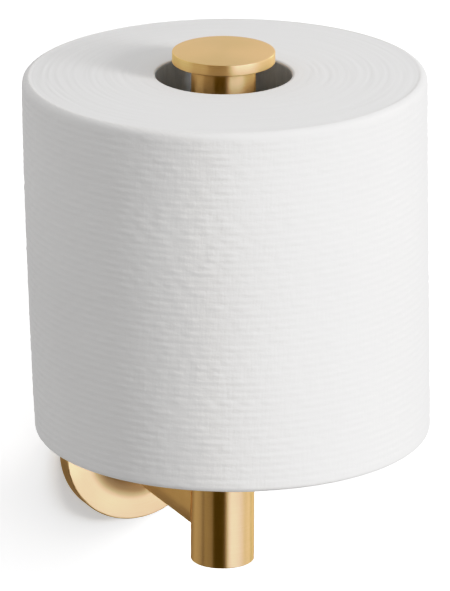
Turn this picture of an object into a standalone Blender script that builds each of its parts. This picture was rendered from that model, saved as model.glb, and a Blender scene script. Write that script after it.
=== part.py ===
"""Wall-mounted upright toilet paper holder with a roll on it, one object for each real piece.

The origin is the centre of the bracket's face on the wall. +Z is up, the wall is on the +Y side, and the
holder stands out towards -Y. The arm's axis is the Y axis, and the post's axis is vertical, POST_REACH
out from the wall.
"""

import math

import bmesh
import bpy
from mathutils import Matrix, Vector

MM = 0.001

# How finely round shapes are made
ROUND_SEGMENTS = 56
INNER_SEGMENTS = 40
SMALL_SEGMENTS = 20
ARC_TOLERANCE = 0.06 * MM
SHARP_ANGLE = math.radians(35)
MERGE_DISTANCE = 0.0001 * MM

# Clearances
SEAT_GAP = 0.15 * MM  # between fixed flat faces that rest on each other
FIT_GAP = 0.3 * MM  # around a piece in its hole, and under a piece that turns or lifts
CUT_OVERSHOOT = 1.0 * MM  # how far a cutter runs past the face it opens

# Post and arm
POST_REACH = 72.0 * MM  # wall to the post's axis
POST_ABOVE_ARM = 147.8 * MM  # arm's axis to the post's top end
POST_BELOW_ARM = 15.8 * MM  # arm's axis to the post's bottom end
POST_DIAMETER = 20.0 * MM
POST_WALL = 2.5 * MM
POST_EDGE_ROUNDING = 0.4 * MM
ARM_DIAMETER = 18.0 * MM

# Cap
CAP_DIAMETER = 32.0 * MM
CAP_THICKNESS = 3.5 * MM
CAP_EDGE_ROUNDING = 0.35 * MM
CAP_SPIGOT_DIAMETER = 11.0 * MM
CAP_SPIGOT_LENGTH = 5.0 * MM
CAP_STUD_DEPTH = 1.2 * MM  # how far the stud's hole runs into the disc
TOP_INSERT_LENGTH = 18.0 * MM

# Wall plate
FLANGE_DIAMETER = 49.0 * MM
FLANGE_THICKNESS = 6.0 * MM
FLANGE_RIM_WALL = 3.0 * MM
FLANGE_FACE_WALL = 1.6 * MM
FLANGE_EDGE_ROUNDING = 0.6 * MM
NECK_ROUNDING = 9.0 * MM  # the concave sweep from the plate into the arm

# Wall bracket, inside the plate
BRACKET_SIDE_CLEARANCE = 2.1 * MM
BRACKET_BASE = 2.0 * MM
BRACKET_RING_WALL = 3.2 * MM
GROOVE_DEPTH = 1.2 * MM
GROOVE_HALF_WIDTH = 1.5 * MM
GROOVE_TO_FACE = 0.1 * MM  # from the groove's edge to the ring's front
SCREW_SLOT_LENGTH = 7.0 * MM

# Fasteners
WALL_SCREW_DIAMETER = 4.0 * MM
WALL_SCREW_HEAD_DIAMETER = 8.0 * MM
WALL_SCREW_HEAD_HEIGHT = 1.9 * MM
WALL_SCREW_LENGTH = 32.0 * MM
WALL_SCREW_POINT = 4.0 * MM
WALL_SCREW_SIDE_ROOM = 1.2 * MM  # from a screw's head to the bracket's ring
CROSS_LENGTH = 4.6 * MM
CROSS_WIDTH = 1.0 * MM
CROSS_DEPTH = 1.1 * MM
ANCHOR_DIAMETER = 6.0 * MM
ANCHOR_LENGTH = 26.0 * MM
ANCHOR_DEPTH_IN_WALL = 2.5 * MM
ANCHOR_SLIT_WIDTH = 0.8 * MM
ANCHOR_SLIT_LENGTH = 18.0 * MM
STUD_DIAMETER = 6.0 * MM
STUD_POINT = 0.5 * MM
STUD_GRIP = 12.0 * MM  # length of thread in each tapped piece
TAPPED_RUNOUT = 2.0 * MM
ARM_SCREW_HEAD_DIAMETER = 10.0 * MM
ARM_SCREW_HEAD_HEIGHT = 5.0 * MM
HEX_ACROSS_CORNERS = 5.6 * MM
HEX_DEPTH = 2.8 * MM
WASHER_THICKNESS = 1.2 * MM
FLANGE_SET_SCREW_DIAMETER = 3.0 * MM
REST_SET_SCREW_DIAMETER = 4.0 * MM
SET_SCREW_RECESS = 0.4 * MM
SET_SCREW_POINT = 0.8 * MM
SET_SCREW_HEX_SHARE = 0.55  # of the screw's diameter, across the socket's corners
SET_SCREW_HEX_DEPTH = 1.6 * MM

# Roll rest and its turning ring
REST_TOP = 26.0 * MM  # arm's axis to the disc's upper face
REST_DIAMETER = 52.0 * MM
REST_THICKNESS = 3.0 * MM
REST_EDGE_ROUNDING = 0.5 * MM
REST_HUB_WALL = 4.0 * MM
REST_HUB_LENGTH = 9.0 * MM
RING_DIAMETER = 50.0 * MM
RING_THICKNESS = 1.5 * MM
COLLAR_WALL = 2.0 * MM
COLLAR_HEIGHT = 6.0 * MM
COLLAR_TO_CORE = 0.6 * MM
RING_EDGE_ROUNDING = 0.4 * MM

# Roll
ROLL_DIAMETER = 125.0 * MM
ROLL_LENGTH = 116.2 * MM
ROLL_EDGE_ROUNDING = 3.0 * MM
CORE_BORE = 42.3 * MM
CORE_WALL = 1.0 * MM
CORE_SHORTER = 0.8 * MM  # at each end, than the paper

# Radii and places that follow
POST_RADIUS = POST_DIAMETER / 2
POST_BORE_RADIUS = POST_RADIUS - POST_WALL
PLUG_RADIUS = POST_BORE_RADIUS - FIT_GAP
ARM_RADIUS = ARM_DIAMETER / 2
STUD_RADIUS = STUD_DIAMETER / 2
TAPPED_RADIUS = STUD_RADIUS + FIT_GAP
FLANGE_RADIUS = FLANGE_DIAMETER / 2
CAVITY_RADIUS = FLANGE_RADIUS - FLANGE_RIM_WALL
CAVITY_DEPTH = FLANGE_THICKNESS - FLANGE_FACE_WALL
NECK_END = FLANGE_THICKNESS + NECK_ROUNDING
COUNTERBORE_RADIUS = ARM_SCREW_HEAD_DIAMETER / 2 + FIT_GAP
HEAD_BACK = CAVITY_DEPTH + SEAT_GAP
WASHER_BACK = HEAD_BACK + ARM_SCREW_HEAD_HEIGHT + SEAT_GAP
COUNTERBORE_END = WASHER_BACK + WASHER_THICKNESS + SEAT_GAP
ARM_START = NECK_END + SEAT_GAP
BRACKET_RADIUS = CAVITY_RADIUS - BRACKET_SIDE_CLEARANCE
BRACKET_THICKNESS = CAVITY_DEPTH - FIT_GAP
BRACKET_RING_INNER = BRACKET_RADIUS - BRACKET_RING_WALL
GROOVE_HEIGHT = BRACKET_THICKNESS - GROOVE_HALF_WIDTH - GROOVE_TO_FACE
WALL_SCREW_RADIUS = WALL_SCREW_DIAMETER / 2
WALL_SCREW_OFFSET = BRACKET_RING_INNER - WALL_SCREW_SIDE_ROOM - WALL_SCREW_HEAD_DIAMETER / 2
REST_RADIUS = REST_DIAMETER / 2
HUB_RADIUS = POST_RADIUS + REST_HUB_WALL
HUB_BOTTOM = REST_TOP - REST_THICKNESS - REST_HUB_LENGTH
RING_BOTTOM = REST_TOP + FIT_GAP
RING_TOP = RING_BOTTOM + RING_THICKNESS
CORE_RADIUS = CORE_BORE / 2
ROLL_BOTTOM = RING_TOP + FIT_GAP
ROLL_TOP = ROLL_BOTTOM + ROLL_LENGTH
CAP_BOTTOM = POST_ABOVE_ARM + SEAT_GAP


def clear_scene():
    for obj in list(bpy.data.objects):
        bpy.data.objects.remove(obj)


def make_material(name, colour, roughness, metallic):
    material = bpy.data.materials.new(name)
    material.use_nodes = True
    shader = material.node_tree.nodes["Principled BSDF"]
    shader.inputs["Base Color"].default_value = (*colour, 1.0)
    shader.inputs["Roughness"].default_value = roughness
    shader.inputs["Metallic"].default_value = metallic
    material.diffuse_color = (*colour, 1.0)
    return material


def make_empty(name, location, rotation=(0.0, 0.0, 0.0)):
    empty = bpy.data.objects.new(name, None)
    empty.location = location
    empty.rotation_euler = rotation
    bpy.context.scene.collection.objects.link(empty)
    return empty


def finish_object(name, bm, material, parent):
    """Close the bmesh into a smooth-shaded object under its parent."""
    bmesh.ops.recalc_face_normals(bm, faces=bm.faces[:])
    mesh = bpy.data.meshes.new(name)
    bm.to_mesh(mesh)
    bm.free()
    mesh.shade_smooth()
    mesh.set_sharp_from_angle(angle=SHARP_ANGLE)
    if material:
        mesh.materials.append(material)
    obj = bpy.data.objects.new(name, mesh)
    obj.parent = parent
    bpy.context.scene.collection.objects.link(obj)
    return obj


def outline_points(corners):
    """Points of an outline whose corners are (radius, height) or (radius, height, rounding)."""
    points = []
    for index, (radius, height, *rounding) in enumerate(corners):
        here = Vector((radius, height))
        if not rounding:
            points.append(here)
            continue
        to_last = (Vector(corners[index - 1][:2]) - here).normalized()
        to_next = (Vector(corners[(index + 1) % len(corners)][:2]) - here).normalized()
        half_angle = to_last.angle(to_next) / 2
        reach = rounding[0] / math.tan(half_angle)
        centre = here + (to_last + to_next).normalized() * rounding[0] / math.sin(half_angle)
        start = here + to_last * reach - centre
        sweep = start.angle_signed(here + to_next * reach - centre)
        step_angle = 2 * math.acos(1 - ARC_TOLERANCE / rounding[0])
        steps = math.ceil(abs(sweep) / step_angle)
        for step in range(steps + 1):
            points.append(centre + Matrix.Rotation(-sweep * step / steps, 2) @ start)
    return points


def turned(name, corners, material=None, parent=None, segments=ROUND_SEGMENTS):
    """A solid of revolution about local Z. An outline that starts on the axis also ends on it."""
    bm = bmesh.new()
    points = outline_points(corners)
    verts = [bm.verts.new((point.x, 0.0, point.y)) for point in points]
    ends = list(zip(verts, verts[1:]))
    if points[0].x > 0:
        ends.append((verts[-1], verts[0]))
    edges = [bm.edges.new(pair) for pair in ends]
    bmesh.ops.spin(
        bm,
        geom=verts + edges,
        cent=(0.0, 0.0, 0.0),
        axis=(0.0, 0.0, 1.0),
        angle=2 * math.pi,
        steps=segments,
    )
    bmesh.ops.remove_doubles(bm, verts=bm.verts[:], dist=MERGE_DISTANCE)
    return finish_object(name, bm, material, parent)


def prism(name, outline, bottom, top, parent=None):
    """A straight extrusion of an (x, y) outline along local Z."""
    bm = bmesh.new()
    verts = [bm.verts.new((x, y, bottom)) for x, y in outline]
    face = bm.faces.new(verts)
    grown = bmesh.ops.extrude_face_region(bm, geom=[face])
    moved = [item for item in grown["geom"] if isinstance(item, bmesh.types.BMVert)]
    bmesh.ops.translate(bm, verts=moved, vec=(0.0, 0.0, top - bottom))
    return finish_object(name, bm, None, parent)


def rod(name, radius, bottom, top, parent=None, segments=SMALL_SEGMENTS):
    return turned(name, [(0, bottom), (radius, bottom), (radius, top), (0, top)], None, parent, segments)


def cut(target, cutter):
    """Take the cutter's volume out of the target, and keep the cutter as a hidden guide."""
    cutter.hide_render = True
    cutter.display_type = "WIRE"
    modifier = target.modifiers.new("Cut " + cutter.name, "BOOLEAN")
    modifier.operation = "DIFFERENCE"
    modifier.solver = "EXACT"
    modifier.object = cutter


def hexagon(across_corners):
    radius = across_corners / 2
    return [(radius * math.cos(k * math.pi / 3), radius * math.sin(k * math.pi / 3)) for k in range(6)]


def slot_outline(length, width):
    """A straight slot with round ends, its length along x."""
    radius = width / 2
    reach = length / 2 - radius
    half_turn = SMALL_SEGMENTS // 2
    points = []
    for side in (1, -1):
        for k in range(half_turn + 1):
            angle = math.pi * (k / half_turn - 0.5) + (0 if side > 0 else math.pi)
            points.append((side * reach + radius * math.cos(angle), radius * math.sin(angle)))
    return points


def cross_outline(length, width):
    """A plus sign, for a cross recess."""
    far = length / 2
    near = width / 2
    quarter = [(far, -near), (far, near), (near, near)]
    points = []
    for k in range(4):
        turn = Matrix.Rotation(k * math.pi / 2, 2)
        points += [tuple(turn @ Vector(point)) for point in quarter]
    return points


def make_wall_bracket(axis, material):
    """A disc with a raised ring. The ring's groove takes the flange's set screw."""
    outer = BRACKET_RADIUS
    bracket = turned(
        "wall_bracket",
        [
            (0, 0),
            (outer, 0),
            (outer, GROOVE_HEIGHT - GROOVE_HALF_WIDTH),
            (outer - GROOVE_DEPTH, GROOVE_HEIGHT),
            (outer, GROOVE_HEIGHT + GROOVE_HALF_WIDTH),
            (outer, BRACKET_THICKNESS),
            (BRACKET_RING_INNER, BRACKET_THICKNESS),
            (BRACKET_RING_INNER, BRACKET_BASE),
            (0, BRACKET_BASE),
        ],
        material,
        axis,
        INNER_SEGMENTS,
    )
    slot_width = WALL_SCREW_DIAMETER + 2 * FIT_GAP
    for side, sign in (("left", -1), ("right", 1)):
        slot = prism(
            f"bracket_slot_{side}",
            slot_outline(SCREW_SLOT_LENGTH, slot_width),
            -CUT_OVERSHOOT,
            BRACKET_BASE + CUT_OVERSHOOT,
            axis,
        )
        slot.location.x = sign * WALL_SCREW_OFFSET
        cut(bracket, slot)


def make_wall_screw(side, sign, axis, material):
    """A pan-head screw through the bracket's slot into its anchor, with a cross recess."""
    seat = BRACKET_BASE + SEAT_GAP
    head_top = seat + WALL_SCREW_HEAD_HEIGHT
    point = seat - WALL_SCREW_LENGTH
    screw = turned(
        f"wall_screw_{side}",
        [
            (0, point),
            (WALL_SCREW_RADIUS, point + WALL_SCREW_POINT),
            (WALL_SCREW_RADIUS, seat),
            (WALL_SCREW_HEAD_DIAMETER / 2, seat),
            (WALL_SCREW_HEAD_DIAMETER / 2, head_top, WALL_SCREW_HEAD_HEIGHT / 2),
            (0, head_top),
        ],
        material,
        axis,
        SMALL_SEGMENTS,
    )
    recess = prism(
        f"cross_recess_{side}",
        cross_outline(CROSS_LENGTH, CROSS_WIDTH),
        head_top - CROSS_DEPTH,
        head_top + CUT_OVERSHOOT,
        axis,
    )
    for obj in (screw, recess):
        obj.location.x = sign * WALL_SCREW_OFFSET
    cut(screw, recess)


def make_wall_anchor(side, sign, axis, material):
    """A slit plastic plug, set below the wall's surface."""
    bore = WALL_SCREW_RADIUS + FIT_GAP
    mouth = -ANCHOR_DEPTH_IN_WALL
    far_end = mouth - ANCHOR_LENGTH
    anchor = turned(
        f"wall_anchor_{side}",
        [(bore, far_end), (ANCHOR_DIAMETER / 2, far_end), (ANCHOR_DIAMETER / 2, mouth), (bore, mouth)],
        material,
        axis,
        SMALL_SEGMENTS,
    )
    slit_x = ANCHOR_SLIT_WIDTH / 2
    slit_y = ANCHOR_DIAMETER / 2 + CUT_OVERSHOOT
    slit = prism(
        f"anchor_slit_{side}",
        [(-slit_x, -slit_y), (slit_x, -slit_y), (slit_x, slit_y), (-slit_x, slit_y)],
        far_end - CUT_OVERSHOOT,
        far_end + ANCHOR_SLIT_LENGTH,
        axis,
    )
    for obj in (anchor, slit):
        obj.location.x = sign * WALL_SCREW_OFFSET
    cut(anchor, slit)


def make_flange(axis, material):
    """The hollow wall plate and its trumpet neck, counterbored from inside for the arm's screw."""
    flange = turned(
        "flange",
        [
            (CAVITY_RADIUS, 0),
            (FLANGE_RADIUS, 0),
            (FLANGE_RADIUS, FLANGE_THICKNESS, FLANGE_EDGE_ROUNDING),
            (ARM_RADIUS, FLANGE_THICKNESS, NECK_ROUNDING),
            (ARM_RADIUS, NECK_END + CUT_OVERSHOOT),
            (TAPPED_RADIUS, NECK_END + CUT_OVERSHOOT),
            (TAPPED_RADIUS, COUNTERBORE_END),
            (COUNTERBORE_RADIUS, COUNTERBORE_END),
            (COUNTERBORE_RADIUS, CAVITY_DEPTH),
            (CAVITY_RADIUS, CAVITY_DEPTH),
        ],
        material,
        axis,
    )
    trim = rod(
        "neck_trim",
        ARM_RADIUS + CUT_OVERSHOOT,
        NECK_END,
        NECK_END + 2 * CUT_OVERSHOOT,
        axis,
        ROUND_SEGMENTS,
    )
    cut(flange, trim)
    hole = rod(
        "flange_set_screw_hole",
        FLANGE_SET_SCREW_DIAMETER / 2 + FIT_GAP,
        0,
        FLANGE_RIM_WALL + 2 * CUT_OVERSHOOT,
    )
    hole.location = (0, -GROOVE_HEIGHT, -FLANGE_RADIUS - CUT_OVERSHOOT)
    cut(flange, hole)


def make_set_screw(name, diameter, length, material, location, rotation, parent=None):
    """A grub screw along local Z, its hex socket at z = 0 and its cone point at the far end."""
    radius = diameter / 2
    screw = turned(
        name,
        [
            (0, 0),
            (radius - SET_SCREW_RECESS / 2, 0),
            (radius, SET_SCREW_RECESS / 2),
            (radius, length - SET_SCREW_POINT),
            (radius - SET_SCREW_POINT, length),
            (0, length),
        ],
        material,
        parent,
        SMALL_SEGMENTS,
    )
    socket = prism(
        name + "_socket",
        hexagon(diameter * SET_SCREW_HEX_SHARE),
        -CUT_OVERSHOOT,
        SET_SCREW_HEX_DEPTH,
        parent,
    )
    for obj in (screw, socket):
        obj.location = location
        obj.rotation_euler = rotation
    cut(screw, socket)


def make_arm(axis, post_axis, material):
    """The rod, tapped at both ends and saddled to the post."""
    arm = turned(
        "arm",
        [
            (0, ARM_START + STUD_GRIP + TAPPED_RUNOUT),
            (TAPPED_RADIUS, ARM_START + STUD_GRIP + TAPPED_RUNOUT),
            (TAPPED_RADIUS, ARM_START),
            (ARM_RADIUS, ARM_START),
            (ARM_RADIUS, POST_REACH),
            (0, POST_REACH),
        ],
        material,
        axis,
    )
    saddle = rod(
        "arm_saddle",
        POST_RADIUS + FIT_GAP,
        -ARM_RADIUS - CUT_OVERSHOOT,
        ARM_RADIUS + CUT_OVERSHOOT,
        post_axis,
        ROUND_SEGMENTS,
    )
    cut(arm, saddle)
    tapped_bottom = POST_REACH - POST_RADIUS - STUD_GRIP - TAPPED_RUNOUT
    cut(arm, rod("arm_tapped_hole", TAPPED_RADIUS, tapped_bottom, POST_REACH, axis))


def make_arm_screw(axis, material):
    """A socket cap screw from inside the flange into the arm."""
    head_front = HEAD_BACK + ARM_SCREW_HEAD_HEIGHT
    tip = ARM_START + STUD_GRIP
    screw = turned(
        "arm_screw",
        [
            (0, HEAD_BACK),
            (ARM_SCREW_HEAD_DIAMETER / 2, HEAD_BACK),
            (ARM_SCREW_HEAD_DIAMETER / 2, head_front),
            (STUD_RADIUS, head_front),
            (STUD_RADIUS, tip - STUD_POINT),
            (STUD_RADIUS - STUD_POINT, tip),
            (0, tip),
        ],
        material,
        axis,
        SMALL_SEGMENTS,
    )
    socket = prism(
        "arm_screw_socket",
        hexagon(HEX_ACROSS_CORNERS),
        HEAD_BACK - CUT_OVERSHOOT,
        HEAD_BACK + HEX_DEPTH,
        axis,
    )
    cut(screw, socket)


def make_arm_lock_washer(axis, material):
    turned(
        "arm_lock_washer",
        [
            (TAPPED_RADIUS, WASHER_BACK),
            (ARM_SCREW_HEAD_DIAMETER / 2, WASHER_BACK),
            (ARM_SCREW_HEAD_DIAMETER / 2, WASHER_BACK + WASHER_THICKNESS),
            (TAPPED_RADIUS, WASHER_BACK + WASHER_THICKNESS),
        ],
        material,
        axis,
        SMALL_SEGMENTS,
    )


def make_stud(name, start, end, parent, material):
    """A double-ended stud along local Z."""
    turned(
        name,
        [
            (0, start),
            (STUD_RADIUS - STUD_POINT, start),
            (STUD_RADIUS, start + STUD_POINT),
            (STUD_RADIUS, end - STUD_POINT),
            (STUD_RADIUS - STUD_POINT, end),
            (0, end),
        ],
        material,
        parent,
        SMALL_SEGMENTS,
    )


def make_post(axis, wall_axis, material):
    """The upright tube, with the stud's hole in its wall side."""
    post = turned(
        "post",
        [
            (POST_BORE_RADIUS, -POST_BELOW_ARM),
            (POST_RADIUS, -POST_BELOW_ARM, POST_EDGE_ROUNDING),
            (POST_RADIUS, POST_ABOVE_ARM),
            (POST_BORE_RADIUS, POST_ABOVE_ARM),
        ],
        material,
        axis,
    )
    near_side = POST_REACH - POST_RADIUS - CUT_OVERSHOOT
    cut(post, rod("post_stud_hole", TAPPED_RADIUS, near_side, POST_REACH, wall_axis))


def make_post_foot(axis, wall_axis, material):
    """The plug that closes the tube's bottom and takes the arm's stud."""
    foot = turned(
        "post_foot",
        [
            (0, -POST_BELOW_ARM),
            (PLUG_RADIUS, -POST_BELOW_ARM),
            (PLUG_RADIUS, ARM_RADIUS),
            (0, ARM_RADIUS),
        ],
        material,
        axis,
        INNER_SEGMENTS,
    )
    near_side = POST_REACH - PLUG_RADIUS - CUT_OVERSHOOT
    hole_end = POST_REACH - POST_RADIUS + STUD_GRIP + TAPPED_RUNOUT
    cut(foot, rod("foot_tapped_hole", TAPPED_RADIUS, near_side, hole_end, wall_axis))


def make_post_top_insert(axis, material):
    """The plug in the tube's top, counterbored for the cap's spigot and tapped for its stud."""
    top = POST_ABOVE_ARM
    spigot_seat = CAP_BOTTOM - CAP_SPIGOT_LENGTH - SEAT_GAP
    spigot_bore = CAP_SPIGOT_DIAMETER / 2 + FIT_GAP
    turned(
        "post_top_insert",
        [
            (TAPPED_RADIUS, top - TOP_INSERT_LENGTH),
            (PLUG_RADIUS, top - TOP_INSERT_LENGTH),
            (PLUG_RADIUS, top),
            (spigot_bore, top),
            (spigot_bore, spigot_seat),
            (TAPPED_RADIUS, spigot_seat),
        ],
        material,
        axis,
        INNER_SEGMENTS,
    )


def make_cap(axis, material):
    """The disc, with a spigot below it that is tapped for the stud."""
    spigot_bottom = CAP_BOTTOM - CAP_SPIGOT_LENGTH
    hole_top = CAP_BOTTOM + CAP_STUD_DEPTH
    turned(
        "cap",
        [
            (0, hole_top),
            (TAPPED_RADIUS, hole_top),
            (TAPPED_RADIUS, spigot_bottom),
            (CAP_SPIGOT_DIAMETER / 2, spigot_bottom),
            (CAP_SPIGOT_DIAMETER / 2, CAP_BOTTOM),
            (CAP_DIAMETER / 2, CAP_BOTTOM, CAP_EDGE_ROUNDING),
            (CAP_DIAMETER / 2, CAP_BOTTOM + CAP_THICKNESS, CAP_EDGE_ROUNDING),
            (0, CAP_BOTTOM + CAP_THICKNESS),
        ],
        material,
        axis,
    )


def make_roll_rest(axis, material):
    """The disc that carries the roll, on a hub that a set screw clamps to the post."""
    bore = POST_RADIUS + FIT_GAP
    rest = turned(
        "roll_rest",
        [
            (bore, HUB_BOTTOM),
            (HUB_RADIUS, HUB_BOTTOM, REST_EDGE_ROUNDING),
            (HUB_RADIUS, REST_TOP - REST_THICKNESS, REST_EDGE_ROUNDING),
            (REST_RADIUS, REST_TOP - REST_THICKNESS, REST_EDGE_ROUNDING),
            (REST_RADIUS, REST_TOP, REST_EDGE_ROUNDING),
            (bore, REST_TOP),
        ],
        material,
        axis,
        INNER_SEGMENTS,
    )
    hole = rod(
        "rest_set_screw_hole",
        REST_SET_SCREW_DIAMETER / 2 + FIT_GAP,
        0,
        HUB_RADIUS - bore + 2 * CUT_OVERSHOOT,
        axis,
    )
    hole.location = (0, HUB_RADIUS + CUT_OVERSHOOT, HUB_BOTTOM + REST_HUB_LENGTH / 2)
    hole.rotation_euler.x = math.pi / 2
    cut(rest, hole)


def make_glide_ring(axis, material):
    """The ring that turns on the rest, with a collar that centres the core."""
    collar_radius = CORE_RADIUS - COLLAR_TO_CORE
    turned(
        "glide_ring",
        [
            (POST_RADIUS + FIT_GAP, RING_BOTTOM),
            (RING_DIAMETER / 2, RING_BOTTOM),
            (RING_DIAMETER / 2, RING_TOP, RING_EDGE_ROUNDING),
            (collar_radius, RING_TOP),
            (collar_radius, RING_TOP + COLLAR_HEIGHT, RING_EDGE_ROUNDING),
            (collar_radius - COLLAR_WALL, RING_TOP + COLLAR_HEIGHT, RING_EDGE_ROUNDING),
            (collar_radius - COLLAR_WALL, RING_TOP),
            (POST_RADIUS + FIT_GAP, RING_TOP),
        ],
        material,
        axis,
        INNER_SEGMENTS,
    )


def make_cardboard_core(axis, material):
    bottom = ROLL_BOTTOM + CORE_SHORTER
    top = ROLL_TOP - CORE_SHORTER
    outer = CORE_RADIUS + CORE_WALL
    turned(
        "cardboard_core",
        [(CORE_RADIUS, bottom), (outer, bottom), (outer, top), (CORE_RADIUS, top)],
        material,
        axis,
        INNER_SEGMENTS,
    )


def make_paper_roll(axis, material):
    """The wound paper as one soft solid."""
    inner = CORE_RADIUS + CORE_WALL + FIT_GAP
    outer = ROLL_DIAMETER / 2
    turned(
        "paper_roll",
        [
            (inner, ROLL_BOTTOM),
            (outer, ROLL_BOTTOM, ROLL_EDGE_ROUNDING),
            (outer, ROLL_TOP, ROLL_EDGE_ROUNDING),
            (inner, ROLL_TOP),
        ],
        material,
        axis,
        INNER_SEGMENTS,
    )


def build():
    clear_scene()
    brass = make_material("brushed_brass", (0.62, 0.42, 0.19), 0.3, 1.0)
    plain_brass = make_material("plain_brass", (0.66, 0.48, 0.22), 0.4, 1.0)
    steel = make_material("zinc_steel", (0.55, 0.56, 0.58), 0.38, 1.0)
    nylon = make_material("grey_nylon", (0.42, 0.44, 0.46), 0.55, 0.0)
    acetal = make_material("white_acetal", (0.80, 0.80, 0.78), 0.45, 0.0)
    cardboard = make_material("grey_cardboard", (0.42, 0.40, 0.37), 0.9, 0.0)
    paper = make_material("tissue_paper", (0.86, 0.86, 0.86), 0.9, 0.0)

    # Along the wall axis, local Z is the distance out from the wall.
    wall_axis = make_empty("wall_axis", (0, 0, 0), (math.pi / 2, 0, 0))
    post_axis = make_empty("post_axis", (0, -POST_REACH, 0))
    bpy.context.view_layer.update()

    make_wall_bracket(wall_axis, steel)
    for side, sign in (("left", -1), ("right", 1)):
        make_wall_screw(side, sign, wall_axis, steel)
        make_wall_anchor(side, sign, wall_axis, nylon)
    make_flange(wall_axis, brass)
    make_set_screw(
        "flange_set_screw",
        FLANGE_SET_SCREW_DIAMETER,
        FLANGE_RADIUS - SET_SCREW_RECESS - BRACKET_RADIUS + GROOVE_DEPTH / 2,
        steel,
        (0, -GROOVE_HEIGHT, -FLANGE_RADIUS + SET_SCREW_RECESS),
        (0, 0, 0),
    )
    make_arm(wall_axis, post_axis, brass)
    make_arm_screw(wall_axis, steel)
    make_arm_lock_washer(wall_axis, steel)
    post_face = POST_REACH - POST_RADIUS
    make_stud("arm_stud", post_face - STUD_GRIP, post_face + STUD_GRIP, wall_axis, steel)

    make_post(post_axis, wall_axis, brass)
    make_post_foot(post_axis, wall_axis, plain_brass)
    make_post_top_insert(post_axis, plain_brass)
    make_cap(post_axis, brass)
    stud_bottom = POST_ABOVE_ARM - TOP_INSERT_LENGTH + TAPPED_RUNOUT
    make_stud("cap_stud", stud_bottom, CAP_BOTTOM + CAP_STUD_DEPTH - SEAT_GAP, post_axis, steel)

    make_roll_rest(post_axis, brass)
    make_set_screw(
        "rest_set_screw",
        REST_SET_SCREW_DIAMETER,
        HUB_RADIUS - SET_SCREW_RECESS - POST_RADIUS - SEAT_GAP,
        steel,
        (0, HUB_RADIUS - SET_SCREW_RECESS, HUB_BOTTOM + REST_HUB_LENGTH / 2),
        (math.pi / 2, 0, 0),
        post_axis,
    )
    make_glide_ring(post_axis, acetal)
    make_cardboard_core(post_axis, cardboard)
    make_paper_roll(post_axis, paper)
    bpy.context.view_layer.update()


build()
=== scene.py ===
import math
from collections import namedtuple

import bmesh
import bpy
import numpy as np
from mathutils import Matrix, Vector


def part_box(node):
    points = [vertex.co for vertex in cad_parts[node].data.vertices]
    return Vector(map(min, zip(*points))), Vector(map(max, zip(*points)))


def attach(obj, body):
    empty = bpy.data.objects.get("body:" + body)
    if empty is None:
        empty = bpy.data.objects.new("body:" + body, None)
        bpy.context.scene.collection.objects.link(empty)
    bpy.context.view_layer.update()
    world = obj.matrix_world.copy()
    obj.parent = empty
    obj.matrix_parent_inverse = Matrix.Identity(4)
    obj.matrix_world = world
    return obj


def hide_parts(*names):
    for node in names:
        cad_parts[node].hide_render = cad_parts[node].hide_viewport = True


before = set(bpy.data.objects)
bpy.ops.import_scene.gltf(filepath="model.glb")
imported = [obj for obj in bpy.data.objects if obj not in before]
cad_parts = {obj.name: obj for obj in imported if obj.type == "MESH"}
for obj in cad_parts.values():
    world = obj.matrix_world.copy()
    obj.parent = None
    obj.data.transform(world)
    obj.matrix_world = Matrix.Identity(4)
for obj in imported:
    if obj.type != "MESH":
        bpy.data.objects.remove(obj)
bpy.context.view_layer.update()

MM = 0.001
WHITE = (1.0, 1.0, 1.0)


# -------------------- sizes and places


def half_width(node):
    """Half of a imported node's size along X."""
    low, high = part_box(node)
    return (high.x - low.x) / 2


def middle(node):
    low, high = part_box(node)
    return (low + high) / 2


def heights(node):
    """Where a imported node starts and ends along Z."""
    low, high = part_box(node)
    return low.z, high.z


def reaches(node):
    """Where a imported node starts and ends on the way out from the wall."""
    low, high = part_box(node)
    return -high.y, -low.y


POST_AXIS, POST_RADIUS = middle("post"), half_width("post")
POST_BOTTOM, POST_TOP = heights("post")
POST_REACH = -POST_AXIS.y
CAP_RADIUS = half_width("cap")
CAP_BOTTOM, CAP_TOP = heights("cap")
FLANGE_RADIUS = half_width("flange")
ARM_RADIUS = half_width("arm")
ROLL_RADIUS = half_width("paper_roll")
ROLL_BOTTOM, ROLL_TOP = heights("paper_roll")
CORE_OUTER = half_width("cardboard_core")
CORE_INNER = CORE_OUTER - 1.0 * MM

# The screw that holds the arm, and the two studs
M6_RADIUS, M6_PITCH, M6_DEPTH = 3.0 * MM, 1.0 * MM, 0.5 * MM
M6_GRIP = 12.0 * MM
M6_CLEARANCE = 3.3 * MM

# Frames for turned pieces: local Z runs out of the wall, or up the post.
WALL_FRAME = Matrix.Rotation(math.pi / 2, 4, "X")
POST_FRAME = Matrix.Translation((POST_AXIS.x, POST_AXIS.y, 0))

CUT_PAST = 1 * MM  # how far a cutter runs past the face it opens
SCREW_ROOM = 0.3 * MM  # between a set screw and its hole
SHARP_ANGLE = math.radians(40)
TINY = 1e-7

# The view
VIEW_AZIMUTH = math.radians(-24.66)
VIEW_ELEVATION = math.radians(18.64)
VIEW_ROLL = math.radians(0.131)
VIEW_DISTANCE = 2.81
AIM_HEIGHT = 65 * MM
AIM_UP, AIM_RIGHT = 6.2 * MM, 0.6 * MM
LENS = 547.9

# A film-like response to light: (level, shown) pairs with a soft toe and a long shoulder up to white
EXPOSURE = 0.32
RESPONSE_WHITE = 2.4
RESPONSE = [
    (0.0, 0.0),
    (0.03, 0.002),
    (0.075, 0.020),
    (0.15, 0.062),
    (0.31, 0.195),
    (0.46, 0.337),
    (0.67, 0.485),
    (0.79, 0.59),
    (0.9, 0.652),
    (1.0, 0.686),
    (1.1, 0.713),
    (1.2, 0.752),
    (1.35, 0.815),
    (1.5, 0.875),
    (2.2, 1.0),
    (2.4, 1.0),
]


# -------------------- node helpers


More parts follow.
